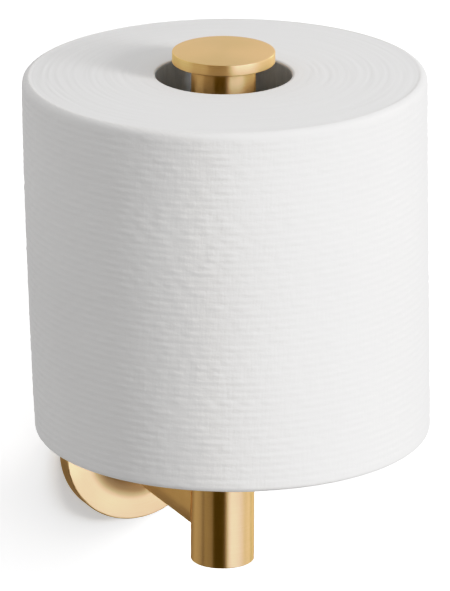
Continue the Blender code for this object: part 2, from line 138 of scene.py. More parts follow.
class Nodes:
    """A short way to build the node tree of a material or of the world."""

    def __init__(self, owner):
        owner.use_nodes = True
        self.owner = owner
        self.tree = owner.node_tree
        self.shader = self.tree.nodes.get("Principled BSDF")

    def add(self, kind, **values):
        node = self.tree.nodes.new(kind)
        for key, value in values.items():
            setattr(node, key, value)
        return node

    def link(self, source, target):
        self.tree.links.new(source, target)

    def put(self, socket, value):
        if isinstance(value, bpy.types.NodeSocket):
            self.link(value, socket)
        elif isinstance(value, tuple) and len(value) == 3 and socket.type == "RGBA":
            socket.default_value = (*value, 1.0)
        else:
            socket.default_value = value

    def place(self):
        """Object coordinates, in metres."""
        return self.add("ShaderNodeTexCoord").outputs["Object"]

    def noise(self, vector, scale, detail=2.0, roughness=0.5):
        node = self.add("ShaderNodeTexNoise")
        self.link(vector, node.inputs["Vector"])
        node.inputs["Scale"].default_value = scale
        node.inputs["Detail"].default_value = detail
        node.inputs["Roughness"].default_value = roughness
        return node.outputs["Fac"]

    def streaks(self, point, scales, detail, roughness):
        """Noise with a scale of its own along each of the point's three coordinates."""
        stretched = self.join(*(self.times(value, scale) for value, scale in zip(point, scales)))
        return self.noise(stretched, 1.0, detail, roughness)

    def math(self, operation, first, second=0.0, third=0.0):
        node = self.add("ShaderNodeMath", operation=operation)
        for socket, value in zip(node.inputs, (first, second, third)):
            self.put(socket, value)
        return node.outputs[0]

    def plus(self, first, second):
        return self.math("ADD", first, second)

    def times(self, first, second):
        return self.math("MULTIPLY", first, second)

    def spread(self, value, low, high, to_low=0.0, to_high=1.0):
        node = self.add("ShaderNodeMapRange")
        keys = ("Value", "From Min", "From Max", "To Min", "To Max")
        for key, item in zip(keys, (value, low, high, to_low, to_high)):
            self.put(node.inputs[key], item)
        return node.outputs["Result"]

    def mix(self, factor, first, second):
        node = self.add("ShaderNodeMix", data_type="RGBA")
        self.put(node.inputs["Factor"], factor)
        sockets = [s for s in node.inputs if s.type == "RGBA"]
        self.put(sockets[0], first)
        self.put(sockets[1], second)
        return [s for s in node.outputs if s.type == "RGBA"][0]

    def mix_shader(self, factor, first, second):
        node = self.add("ShaderNodeMixShader")
        for socket, source in zip(node.inputs, (factor, first, second)):
            self.link(source, socket)
        return node.outputs[0]

    def emission(self, strength, colour=WHITE):
        node = self.add("ShaderNodeEmission")
        self.put(node.inputs["Strength"], strength)
        self.put(node.inputs["Color"], colour)
        return node.outputs[0]

    def bump(self, height, strength, distance):
        node = self.add("ShaderNodeBump")
        self.put(node.inputs["Height"], height)
        node.inputs["Strength"].default_value = strength
        node.inputs["Distance"].default_value = distance
        return node.outputs["Normal"]

    def join(self, x, y, z):
        node = self.add("ShaderNodeCombineXYZ")
        for socket, value in zip(node.inputs, (x, y, z)):
            self.put(socket, value)
        return node.outputs[0]

    def cylinder(self, axis, centre):
        """A point's distance from an axis along Z or Y, its angle round it, and its height along it."""
        moved = self.add("ShaderNodeMapping")
        self.link(self.place(), moved.inputs["Vector"])
        moved.inputs["Location"].default_value = tuple(-c for c in centre)
        split = self.add("ShaderNodeSeparateXYZ")
        self.link(moved.outputs["Vector"], split.inputs[0])
        x, y, z = (split.outputs[k] for k in ("XYZ" if axis == "Z" else "XZY"))
        radius = self.math("SQRT", self.plus(self.times(x, x), self.times(y, y)))
        return radius, self.math("ARCTAN2", y, x), z

    def finish(self, **values):
        for key, value in values.items():
            self.put(self.shader.inputs[key.replace("_", " ")], value)
        return self.owner


def material_nodes(name):
    return Nodes(bpy.data.materials.new(name))


# -------------------- materials

BRASS = (0.85, 0.612, 0.345)
BRASS_DEEP = (0.80, 0.562, 0.295)
# The cap's top face gets a cooler copy of the brass: a painted tint that offsets the warm reflection of the
# wall in that face.
PAINTED_TINT_CAP_BRASS = (0.80, 0.588, 0.395)
PAINTED_TINT_CAP_BRASS_DEEP = (0.76, 0.548, 0.35)
EDGE_TINT = (1.0, 0.9, 0.75)


def brushed_metal(name, axis, centre, colour, deep, roughness=0.36, anisotropy=0.97):
    """Lathe-brushed metal: fine lines run round the axis, and the gloss spreads across them."""
    m = material_nodes(name)
    radius, angle, height = m.cylinder(axis, centre)
    # Short arcs of scratches: very fine across the brushing, long along it
    scratched = (radius, m.times(angle, radius), height)
    fine = m.streaks(scratched, (9000.0, 60.0, 9000.0), 2.0, 0.6)
    broad = m.streaks(scratched, (2600.0, 30.0, 2600.0), 3.0, 0.6)
    cloud = m.noise(m.place(), 55.0, 3.0, 0.55)
    lines = m.math("MULTIPLY_ADD", fine, 0.6, m.times(broad, 0.4))
    shade = m.mix(m.spread(lines, 0.3, 0.7), deep, colour)
    shade = m.mix(m.spread(cloud, 0.35, 0.7, 0.0, 0.25), shade, tuple(0.93 * c for c in colour))
    worn = m.plus(lines, m.times(cloud, 0.5))
    tangent = m.add("ShaderNodeTangent", direction_type="RADIAL", axis=axis)
    m.link(tangent.outputs[0], m.shader.inputs["Tangent"])
    return m.finish(
        Base_Color=shade,
        Metallic=1.0,
        Roughness=m.spread(worn, 0.45, 1.05, roughness - 0.05, roughness + 0.06),
        Anisotropic=anisotropy,
        Anisotropic_Rotation=0.25,
        Specular_Tint=EDGE_TINT,
        Normal=m.bump(lines, 0.05, 0.00004),
    )


def tissue():
    """Soft embossed tissue: faint fibres, clouding, and threads between the ribs that the mesh carries."""
    m = material_nodes("tissue_paper")
    radius, angle, height = m.cylinder("Z", POST_AXIS)
    turn = m.times(angle, radius)
    sheet = (turn, radius, height)
    fibres = m.noise(m.join(*sheet), 1900.0, 4.0, 0.65)
    dashes = m.streaks(sheet, (480.0, 300.0, 1500.0), 2.0, 0.5)
    threads = m.streaks(sheet, (1050.0, 300.0, 170.0), 1.0, 0.5)
    cloud = m.noise(m.place(), 30.0, 3.0, 0.5)
    tone = m.mix(m.spread(cloud, 0.3, 0.7), (0.862, 0.852, 0.844), (0.895, 0.887, 0.877))
    tone = m.mix(m.spread(fibres, 0.35, 0.7, 0.0, 0.5), tone, (0.848, 0.838, 0.83))
    woven = m.plus(m.times(dashes, 0.8), m.times(threads, 0.6))
    relief = m.math("MULTIPLY_ADD", fibres, 0.35, woven)
    return m.finish(
        Base_Color=tone,
        Roughness=m.spread(fibres, 0.3, 0.7, 0.86, 0.97),
        Sheen_Weight=0.25,
        Sheen_Roughness=0.6,
        Specular_IOR_Level=0.2,
        Normal=m.bump(relief, 0.65, 0.00015),
    )


def wound_ends():
    """The roll's flat ends: the edges of the wound sheets, as fine uneven rings."""
    m = material_nodes("tissue_roll_end")
    radius, angle = m.cylinder("Z", POST_AXIS)[:2]
    x = m.times(m.math("COSINE", angle), 1.4)
    y = m.times(m.math("SINE", angle), 1.4)
    rings = m.noise(m.join(m.times(radius, 1500.0), x, y), 1.0, 3.0, 0.6)
    bands = m.noise(m.join(m.times(radius, 260.0), x, y), 1.0, 2.0, 0.5)
    fibres = m.noise(m.place(), 1700.0, 3.0, 0.6)
    cloud = m.noise(m.place(), 42.0, 3.0, 0.5)
    tone = m.mix(m.spread(rings, 0.3, 0.72), (0.864, 0.859, 0.855), (0.893, 0.888, 0.884))
    tone = m.mix(m.spread(bands, 0.3, 0.7, 0.0, 0.45), tone, (0.868, 0.863, 0.858))
    tone = m.mix(m.spread(cloud, 0.4, 0.75, 0.0, 0.3), tone, (0.898, 0.894, 0.89))
    relief = m.math("MULTIPLY_ADD", rings, 0.7, m.times(fibres, 0.3))
    return m.finish(
        Base_Color=tone,
        Roughness=m.spread(fibres, 0.3, 0.7, 0.88, 0.98),
        Sheen_Weight=0.2,
        Specular_IOR_Level=0.2,
        Normal=m.bump(relief, 0.16, 0.0001),
    )


def cardboard():
    """Grey recycled board, wound in a spiral."""
    seam_rise = 0.052  # how far the seam climbs in one turn
    m = material_nodes("grey_cardboard")
    radius, angle, height = m.cylinder("Z", POST_AXIS)
    climb = m.plus(m.times(height, 1 / seam_rise), m.times(angle, 1 / (2 * math.pi)))
    seam = m.math("FRACT", m.plus(climb, 100.0))
    dark = m.math("MINIMUM", m.spread(seam, 0.0, 0.03), m.spread(seam, 1.0, 0.985))
    grain = m.streaks((angle, radius, height), (9.0, 400.0, 90.0), 4.0, 0.65)
    flecks = m.noise(m.place(), 900.0, 3.0, 0.6)
    tone = m.mix(m.spread(grain, 0.3, 0.7), (0.50, 0.55, 0.605), (0.60, 0.65, 0.70))
    tone = m.mix(m.spread(flecks, 0.62, 0.72, 0.0, 0.4), tone, (0.58, 0.58, 0.57))
    tone = m.mix(dark, (0.22, 0.225, 0.235), tone)
    return m.finish(
        Base_Color=tone,
        Roughness=m.spread(flecks, 0.3, 0.7, 0.8, 0.95),
        Specular_IOR_Level=0.3,
        Normal=m.bump(m.plus(grain, m.times(flecks, 0.4)), 0.3, 0.0001),
    )


def plated_steel(name):
    m = material_nodes(name)
    cloud = m.noise(m.place(), 350.0, 4.0, 0.6)
    fine = m.noise(m.place(), 2600.0, 2.0, 0.6)
    return m.finish(
        Base_Color=m.mix(m.spread(cloud, 0.3, 0.7), (0.50, 0.515, 0.535), (0.63, 0.635, 0.64)),
        Metallic=1.0,
        Roughness=m.spread(cloud, 0.3, 0.7, 0.28, 0.42),
        Normal=m.bump(fine, 0.12, 0.00004),
    )


def turned_brass(name):
    """Unpolished machined brass, on the pieces inside."""
    m = material_nodes(name)
    lines = m.streaks(m.cylinder("Z", POST_AXIS), (5000.0, 1.0, 5000.0), 2.0, 0.6)
    cloud = m.noise(m.place(), 200.0, 3.0, 0.5)
    return m.finish(
        Base_Color=m.mix(m.spread(cloud, 0.3, 0.7), (0.62, 0.42, 0.18), (0.76, 0.56, 0.27)),
        Metallic=1.0,
        Roughness=m.spread(lines, 0.3, 0.7, 0.3, 0.45),
        Normal=m.bump(lines, 0.2, 0.00005),
    )


def moulded_plastic(name, low, high, roughness):
    m = material_nodes(name)
    grain = m.noise(m.place(), 1500.0, 3.0, 0.6)
    cloud = m.noise(m.place(), 120.0, 2.0, 0.5)
    return m.finish(
        Base_Color=m.mix(m.spread(cloud, 0.3, 0.7), low, high),
        Roughness=m.spread(grain, 0.3, 0.7, roughness - 0.05, roughness + 0.08),
        Specular_IOR_Level=0.45,
        Normal=m.bump(grain, 0.1, 0.00005),
    )


# -------------------- mesh helpers

# Where a turned piece has a thread or a knurl. Heights are along local Z, and so is the pitch.
Thread = namedtuple("Thread", "start end pitch depth starts", defaults=(1,))
STRAIGHT = 1000.0  # the pitch of a knurl: so long that its grooves run along the axis


def link_object(name, data):
    obj = bpy.data.objects.new(name, data)
    bpy.context.scene.collection.objects.link(obj)
    return obj


def add_object(name, mesh, materials=()):
    for material in materials:
        mesh.materials.append(material)
    return link_object(name, mesh)


def outward_mesh(name, verts, faces):
    """A closed mesh whose faces all look outwards."""
    mesh = bpy.data.meshes.new(name)
    mesh.from_pydata(verts, [], faces)
    bm = bmesh.new()
    bm.from_mesh(mesh)
    bmesh.ops.recalc_face_normals(bm, faces=bm.faces[:])
    bm.to_mesh(mesh)
    bm.free()
    return mesh


def smooth(mesh):
    mesh.shade_smooth()
    mesh.set_sharp_from_angle(angle=SHARP_ANGLE)


def rounded(corners):
    """An outline of (radius, height[, rounding, steps]) corners, as points with the roundings drawn."""
    points = []
    for index, (radius, height, *rounding) in enumerate(corners):
        here = Vector((radius, height))
        if not rounding:
            points.append(here)
            continue
        size, steps = rounding
        before = (Vector(corners[index - 1][:2]) - here).normalized()
        after = (Vector(corners[(index + 1) % len(corners)][:2]) - here).normalized()
        half = before.angle(after) / 2
        reach = size / math.tan(half)
        centre = here + (before + after).normalized() * size / math.sin(half)
        start = here + before * reach - centre
        sweep = start.angle_signed(here + after * reach - centre)
        for step in range(steps + 1):
            points.append(centre + Matrix.Rotation(-sweep * step / steps, 2) @ start)
    return points


def cut_depth(thread, radius, height, turn):
    """How deep a thread or a knurl cuts in at a point of a turned outline."""
    if not thread.start < height < thread.end or radius <= thread.depth:
        return 0.0
    phase = (height / thread.pitch - thread.starts * turn / (2 * math.pi)) % 1.0
    run_out = min(1.0, (height - thread.start) / thread.depth, (thread.end - height) / thread.depth)
    return thread.depth * run_out * abs(2 * phase - 1)


def finer(points, thread):
    """The outline with extra points where the thread runs."""
    step = min(thread.pitch / 8, 0.5 * MM)
    result = [points[0]]
    for last, point in zip(points, points[1:]):
        overlap = min(max(last.y, point.y), thread.end) - max(min(last.y, point.y), thread.start)
        count = max(1, math.ceil(abs(point.y - last.y) / step)) if overlap > step else 1
        result += [last.lerp(point, k / count) for k in range(1, count + 1)]
    return result


def lathe(name, corners, segments, materials, place=None, thread=None):
    """A turned mesh about local Z. place is the matrix from the lathe's frame to the row frame."""
    points = rounded(corners)
    if thread:
        points = finer(points, thread)
    verts, faces, rings = [], [], []
    for point in points:
        if point.x < TINY:
            rings.append([len(verts)] * segments)
            verts.append((0.0, 0.0, point.y))
            continue
        rings.append(list(range(len(verts), len(verts) + segments)))
        for k in range(segments):
            turn = 2 * math.pi * k / segments
            radius = point.x - (cut_depth(thread, point.x, point.y, turn) if thread else 0.0)
            verts.append((radius * math.cos(turn), radius * math.sin(turn), point.y))
    pairs = list(zip(rings, rings[1:]))
    if points[0].x > TINY:
        pairs.append((rings[-1], rings[0]))
    for low, high in pairs:
        for k in range(segments):
            n = (k + 1) % segments
            face = [low[k], low[n], high[n], high[k]]
            face = [v for i, v in enumerate(face) if v not in face[:i]]
            if len(face) > 2:
                faces.append(face)
    mesh = outward_mesh(name, verts, faces)
    if place is not None:
        mesh.transform(place)
    smooth(mesh)
    return add_object(name, mesh, materials)


def bored(obj, *cutters):
    """Takes the cutters out of obj for good, and removes them."""
    for cutter in cutters:
        modifier = obj.modifiers.new("bore", "BOOLEAN")
        modifier.operation = "DIFFERENCE"
        modifier.solver = "EXACT"
        modifier.object = cutter
    graph = bpy.context.evaluated_depsgraph_get()
    mesh = bpy.data.meshes.new_from_object(obj.evaluated_get(graph))
    obj.modifiers.clear()
    old = obj.data
    obj.data = mesh
    bpy.data.meshes.remove(old)
    for cutter in cutters:
        bpy.data.objects.remove(cutter)
    smooth(mesh)


def drill(radius, start, end, place, sides=32):
    return lathe("drill", [(0, start), (radius, start), (radius, end), (0, end)], sides, [], place=place)


def hexagon_drill(across_corners, start, end, place):
    return drill(across_corners / 2, start, end, place, sides=6)


def block(low, high, place):
    """A box-shaped cutter."""
    corners = [(x, y, z) for x in (low[0], high[0]) for y in (low[1], high[1]) for z in (low[2], high[2])]
    sides = [(0, 1, 3, 2), (4, 6, 7, 5), (0, 4, 5, 1), (2, 3, 7, 6), (0, 2, 6, 4), (1, 5, 7, 3)]
    mesh = bpy.data.meshes.new("block")
    mesh.from_pydata(corners, [], sides)
    mesh.transform(place)
    return add_object("block", mesh)


def stands_for(obj, node, body):
    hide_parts(node)
    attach(obj, body)
    return obj


# -------------------- the view and the light


def make_camera():
    data = bpy.data.cameras.new("camera")
    camera = link_object("camera", data)
    bpy.context.scene.camera = camera
    level = math.cos(VIEW_ELEVATION)
    back = Vector((math.sin(VIEW_AZIMUTH) * level, -math.cos(VIEW_AZIMUTH) * level, math.sin(VIEW_ELEVATION)))
    right = Vector((math.cos(VIEW_AZIMUTH), math.sin(VIEW_AZIMUTH), 0.0))
    up = back.cross(right)
    look_at = Vector((POST_AXIS.x, POST_AXIS.y, AIM_HEIGHT)) + up * AIM_UP + right * AIM_RIGHT
    camera.location = look_at + back * VIEW_DISTANCE
    turned = Matrix((right, up, back)).transposed()
    camera.rotation_euler = (turned @ Matrix.Rotation(VIEW_ROLL, 3, "Z")).to_euler()
    data.sensor_width = 36
    data.lens = LENS
    data.clip_start, data.clip_end = 0.05, 30
    data.dof.use_dof = False


def set_view():
    view = bpy.context.scene.view_settings
    view.view_transform = "Standard"
    view.look = "None"
    view.exposure = EXPOSURE
    view.gamma = 1.0
    view.use_curve_mapping = True
    mapping = view.curve_mapping
    mapping.white_level = (RESPONSE_WHITE,) * 3
    curve = mapping.curves[3]
    while len(curve.points) < len(RESPONSE):
        curve.points.new(0.5, 0.5)
    for point, (level, shown) in zip(curve.points, RESPONSE):
        point.location = (level / RESPONSE_WHITE, shown)
        point.handle_type = "AUTO_CLAMPED"
    mapping.update()


# The studio as the gloss sees it: (degrees to the right of the view, brightness, tint)
WORLD_STRENGTH = 2.0
COOL = (1.0, 1.06, 1.27)
WARM = (1.6, 1.25, 0.3)
PALE = (1.03, 1.0, 0.84)
SIDE_LIGHT = [
    (-180, 0.31, PALE),
    (-65, 0.34, PALE),
    (-38, 0.31, PALE),
    (-30, 0.055, WARM),
    (4, 0.055, WARM),
    (30, 1.22, COOL),
    (64, 1.22, COOL),
    (92, 0.80, WHITE),
    (180, 0.70, WHITE),
]
# How far the side light gives way to the top's colour: (sine of the height, share)
TOP_LIGHT = [(-1.0, 0.0), (0.45, 0.0), (0.9, 1.0), (1.0, 1.0)]
TOP_COLOUR = (0.305, 0.31, 0.33)
# The studio as matt surfaces see it: brightness below and above, and between which sines it changes
SOFT_LIGHT = (0.53, 0.92)
SOFT_RANGE = (-0.2, 0.7)
SOFT_COLOUR = (0.8, 0.8, 0.8)
BEHIND_ALL = 1.7  # what the camera sees past the stage


def make_world():
    """Soft studio light: a bright side to the right, a dim one to the left, and a dark strip between."""
    world = bpy.data.worlds.new("studio")
    bpy.context.scene.world = world
    w = Nodes(world)
    w.tree.nodes.clear()

    def ramp(factor, stops, interpolation="LINEAR"):
        """A colour ramp with (position, colour) stops."""
        node = w.add("ShaderNodeValToRGB")
        w.link(factor, node.inputs[0])
        node.color_ramp.interpolation = interpolation
        elements = node.color_ramp.elements
        while len(elements) < len(stops):
            elements.new(0.5)
        for element, (position, colour) in zip(elements, stops):
            element.position = position
            element.color = (*colour, 1)
        return node.outputs[0]

    def background(colour, strength):
        node = w.add("ShaderNodeBackground")
        w.put(node.inputs["Color"], colour)
        w.put(node.inputs["Strength"], strength)
        return node.outputs[0]

    split = w.add("ShaderNodeSeparateXYZ")
    w.link(w.add("ShaderNodeTexCoord").outputs["Generated"], split.inputs[0])
    x, y, z = (split.outputs[k] for k in "XYZ")
    sine, cosine = math.sin(VIEW_AZIMUTH), math.cos(VIEW_AZIMUTH)
    along = w.plus(w.times(x, sine), w.times(y, -cosine))
    across = w.plus(w.times(x, cosine), w.times(y, sine))
    # The angle to the right of the view, from -180 to 180 degrees, as 0 to 1
    turn = w.plus(w.math("DIVIDE", w.math("ARCTAN2", across, along), 2 * math.pi), 0.5)
    sides = [(degrees / 360 + 0.5, [value * t for t in tint]) for degrees, value, tint in SIDE_LIGHT]
    height = w.plus(w.times(z, 0.5), 0.5)
    tops = [(sine / 2 + 0.5, (share,) * 3) for sine, share in TOP_LIGHT]

    shiny = background(w.mix(ramp(height, tops), ramp(turn, sides, "EASE"), TOP_COLOUR), WORLD_STRENGTH)
    soft = background(SOFT_COLOUR, w.spread(z, *SOFT_RANGE, *SOFT_LIGHT))
    path = w.add("ShaderNodeLightPath").outputs
    light = w.mix_shader(path["Is Glossy Ray"], soft, shiny)
    seen = w.mix_shader(path["Is Camera Ray"], light, background(WHITE, BEHIND_ALL))
    w.link(seen, w.add("ShaderNodeOutputWorld").inputs["Surface"])
    world.cycles.sampling_method = "NONE"


STAGE_FOOT, WALL_TOP, WALL_HALF_WIDTH = -0.75, 0.9, 0.8
FLOOR_HALF_WIDTH = 1.5
WALL_GAP = 0.4 * MM  # behind the plate's rim
# The wall's brightness in reflections: at its foot, at the arm, at the roll and above it
GLOW_FOOT, GLOW_ARM, GLOW_ROLL, GLOW_TOP = 0.08, 0.62, 0.97, 0.35
# The wall's glow is dimmed beside the plate: painted shade for the plate's shadow on the wall, as the shiny
# pieces see it.
GLOW_IN_PAINTED_PLATE_SHADE = 0.55  # how much of it is left beside the plate
GLOW_RIGHT = 2.0  # how much brighter it is far to the right
GLOW_TINT = (1.0, 0.985, 0.91)
WALL_SOFT = (0.45, 0.75)  # its brightness for matt surfaces, low and high on the wall
WALL_PAINT = (0.9, 0.905, 0.915)
WALL_FILL = 0.26
FLOOR_SOFT, FLOOR_GLOW = 0.45, 0.08  # for matt and for shiny surfaces


def wall_material():
    """White paint for the camera, a controlled glow for everything else, and clear from behind."""
    m = material_nodes("stage_wall")
    out = m.tree.nodes["Material Output"]
    m.tree.nodes.remove(m.shader)
    split = m.add("ShaderNodeSeparateXYZ")
    m.link(m.place(), split.inputs[0])
    x, z = split.outputs["X"], split.outputs["Z"]
    level = m.plus(m.spread(z, -0.18, -0.04, GLOW_FOOT, GLOW_ARM),
                   m.spread(z, 0.02, 0.14, 0.0, GLOW_ROLL - GLOW_ARM))
    level = m.math("SUBTRACT", level, m.spread(z, 0.22, 0.4, 0.0, GLOW_ROLL - GLOW_TOP))
    level = m.times(level, m.spread(x, 0.05, 0.18, 1.0, GLOW_RIGHT))
    # Painted shade: the glow dims close to the plate, where the plate shades the wall.
    away = m.math("SQRT", m.plus(m.times(x, x), m.times(z, z)))
    level = m.times(level, m.spread(away, 0.028, 0.07, GLOW_IN_PAINTED_PLATE_SHADE, 1.0))
    soft = m.spread(z, -0.2, 0.25, *WALL_SOFT)

    path = m.add("ShaderNodeLightPath").outputs
    gloss = path["Is Glossy Ray"]
    matt = m.times(soft, m.math("SUBTRACT", 1.0, gloss))
    glow = m.emission(m.plus(m.times(level, gloss), matt), m.mix(gloss, WHITE, GLOW_TINT))

    diffuse = m.add("ShaderNodeBsdfDiffuse")
    m.put(diffuse.inputs["Color"], WALL_PAINT)
    paint = m.add("ShaderNodeAddShader")
    m.link(diffuse.outputs[0], paint.inputs[0])
    m.link(m.emission(WALL_FILL), paint.inputs[1])

    front = m.mix_shader(path["Is Camera Ray"], glow, paint.outputs[0])
    behind = m.add("ShaderNodeNewGeometry").outputs["Backfacing"]
    clear = m.add("ShaderNodeBsdfTransparent").outputs[0]
    m.link(m.mix_shader(behind, front, clear), out.inputs["Surface"])
    return m.owner


def floor_material():
    """Pale and slightly glowing for the camera, and dim for everything else."""
    m = material_nodes("stage_floor")
    cloud = m.noise(m.place(), 3.0, 3.0)
    m.finish(
        Base_Color=m.mix(m.spread(cloud, 0.3, 0.7), (0.80, 0.80, 0.80), (0.84, 0.84, 0.84)),
        Roughness=0.8,
        Emission_Color=WHITE,
        Emission_Strength=0.6,
    )
    path = m.add("ShaderNodeLightPath").outputs
    glow = m.emission(m.spread(path["Is Glossy Ray"], 0.0, 1.0, FLOOR_SOFT, FLOOR_GLOW))
    shown = m.mix_shader(path["Is Camera Ray"], glow, m.shader.outputs[0])
    m.link(shown, m.tree.nodes["Material Output"].inputs["Surface"])
    return m.owner


def make_stage():
    """A white wall that shows only from its front, and a pale floor well below."""
    # The wall's front looks along -Y.
    side, y = WALL_HALF_WIDTH, WALL_GAP
    mesh = bpy.data.meshes.new("wall")
    corners = [(-side, y, STAGE_FOOT), (side, y, STAGE_FOOT), (side, y, WALL_TOP), (-side, y, WALL_TOP)]
    mesh.from_pydata(corners, [], [(0, 1, 2, 3)])
    wall = add_object("wall", mesh, [wall_material()])

    side, z = FLOOR_HALF_WIDTH, STAGE_FOOT
    mesh = bpy.data.meshes.new("floor")
    corners = [(-side, -side, z), (side, -side, z), (side, side, z), (-side, side, z)]
    mesh.from_pydata(corners, [], [(0, 1, 2, 3)])
    floor = add_object("floor", mesh, [floor_material()])
    return wall


SUN_ENERGY, SUN_ANGLE = 11.1, math.radians(88)
SUN_TRAVEL = Vector((-1.95, 1.0, -2.3))
KEY_ENERGY, KEY_WIDTH, KEY_HEIGHT = 29.5, 0.45, 0.6
KEY_PLACE = Vector((1.08, -1.68, 0.58))


def collection_of(name, objects):
    collection = bpy.data.collections.new(name)
    for obj in objects:
        collection.objects.link(obj)
    return collection


def make_lights(wall, casters):
    """A soft sun that lights the wall alone, and a soft lamp from the right and above for the object."""
    data = bpy.data.lights.new("wall_light", "SUN")
    data.energy = SUN_ENERGY
    data.angle = SUN_ANGLE
    data.color = (1.0, 0.995, 0.985)
    sun = link_object("wall_light", data)
    sun.rotation_euler = SUN_TRAVEL.normalized().to_track_quat("-Z", "Y").to_euler()
    sun.light_linking.receiver_collection = collection_of("lit_by_wall_light", [wall])
    sun.light_linking.blocker_collection = collection_of("shadow_on_wall", casters)

    data = bpy.data.lights.new("key", "AREA")
    data.shape = "RECTANGLE"
    data.size, data.size_y = KEY_WIDTH, KEY_HEIGHT
    data.energy = KEY_ENERGY
    key = link_object("key", data)
    key.location = KEY_PLACE
    key.rotation_euler = (POST_AXIS - KEY_PLACE).to_track_quat("-Z", "Y").to_euler()
    key.visible_camera = False
    key.visible_glossy = False
    lit = [obj for obj in bpy.context.scene.objects if obj.type == "MESH" and obj is not wall]
    key.light_linking.receiver_collection = collection_of("lit_by_key", lit)


# -------------------- plate, arm, post and cap


def make_flange(metal):
    thickness, neck = 6 * MM, 9 * MM
    neck_end = reaches("flange")[1]
    seat, edge = neck_end + 0.05 * MM, 0.2 * MM
    cavity_depth = thickness - 1.6 * MM
    cavity = FLANGE_RADIUS - 3 * MM
    head_room, head_seat = 5.3 * MM, 10.9 * MM
    flange = lathe(
        "flange_turned",
        [
            (cavity, 0),
            (FLANGE_RADIUS - edge, 0),
            (FLANGE_RADIUS, edge),
            (FLANGE_RADIUS, thickness, 0.6 * MM, 8),
            (ARM_RADIUS, thickness, neck, 28),
            (ARM_RADIUS, neck_end - 0.1 * MM),
            (ARM_RADIUS - 0.15 * MM, seat),
            (M6_CLEARANCE, seat),
            (M6_CLEARANCE, head_seat),
            (head_room, head_seat),
            (head_room, cavity_depth),
            (cavity, cavity_depth, 0.5 * MM, 4),
        ],
        192, [metal], WALL_FRAME,
    )
    screw = middle("flange_set_screw")
    below = Matrix.Translation((screw.x, screw.y, -FLANGE_RADIUS - CUT_PAST))
    bored(flange, drill(half_width("flange_set_screw") + SCREW_ROOM, 0, 5 * MM, below))
    return stands_for(flange, "flange", "holder")


def make_arm(metal):
    """The rod. Its outer end is cut to sit round the post."""
    segments = 160
    start = reaches("arm")[0]
    seat = POST_RADIUS + 0.06 * MM
    turns = [2 * math.pi * k / segments for k in range(segments)]
    verts, faces = [], []
    inner_rings = [
        (M6_CLEARANCE, start),
        (ARM_RADIUS - 0.15 * MM, start - 0.05 * MM),
        (ARM_RADIUS, start + 0.1 * MM),
    ]
    for radius, out in inner_rings:
        verts += [(radius * math.cos(turn), -out, radius * math.sin(turn)) for turn in turns]
    for radius in (ARM_RADIUS, M6_CLEARANCE):
        for turn in turns:
            x = radius * math.cos(turn)
            verts.append((x, POST_AXIS.y + math.sqrt(seat * seat - x * x), radius * math.sin(turn)))
    rings = len(verts) // segments
    for i in range(rings):
        j = (i + 1) % rings
        for k in range(segments):
            n = (k + 1) % segments
            faces.append((i * segments + k, i * segments + n, j * segments + n, j * segments + k))
    mesh = outward_mesh("arm_rod", verts, faces)
    smooth(mesh)
    return stands_for(add_object("arm_rod", mesh, [metal]), "arm", "holder")


def make_post(metal):
    bore = POST_RADIUS - 2.5 * MM
    post = lathe(
        "post_tube",
        [
            (bore, POST_BOTTOM),
            (POST_RADIUS, POST_BOTTOM, 0.4 * MM, 6),
            (POST_RADIUS, POST_TOP, 0.15 * MM, 2),
            (bore, POST_TOP),
        ],
        160, [metal], POST_FRAME,
    )
    bored(post, drill(M6_CLEARANCE, POST_REACH - POST_RADIUS - CUT_PAST, POST_REACH, WALL_FRAME))
    return stands_for(post, "post", "holder")


def make_cap(metal, top_metal):
    """The disc with its spigot, bored for the stud. Its top face has the second material, brass with a
    painted cooler tint.
    """
    bottom = CAP_TOP - 3.5 * MM
    spigot, bore_end = 5.5 * MM, bottom + 1.2 * MM
    cap = lathe(
        "cap_disc",
        [
            (0, bore_end),
            (M6_CLEARANCE, bore_end),
            (M6_CLEARANCE, CAP_BOTTOM),
            (spigot, CAP_BOTTOM),
            (spigot, bottom),
            (CAP_RADIUS, bottom, 0.3 * MM, 5),
            (CAP_RADIUS, CAP_TOP, 0.35 * MM, 6),
            (0, CAP_TOP),
        ],
        192, [metal, top_metal], POST_FRAME,
    )
    for face in cap.data.polygons:
        if face.center.z > CAP_TOP - 0.01 * MM:
            face.material_index = 1
    stands_for(cap, "cap", "holder")


def make_outer_metal():
    """Returns the pieces that shade the wall, and the post's metal."""
    wall_brass = brushed_metal("brushed_brass_wall_side", "Y", (0, 0, 0), BRASS, BRASS_DEEP)
    post_brass = brushed_metal("brushed_brass_post_side", "Z", POST_AXIS, BRASS, BRASS_DEEP)
    casters = [make_flange(wall_brass), make_arm(wall_brass), make_post(post_brass)]
    # The top face's own turned finish, in the brass with the painted cooler tint.
    top_brass = brushed_metal("brushed_brass_cap_top", "Z", POST_AXIS, PAINTED_TINT_CAP_BRASS, PAINTED_TINT_CAP_BRASS_DEEP, 0.42, 0.3)
    make_cap(post_brass, top_brass)
    return casters, post_brass


# -------------------- pieces inside and behind


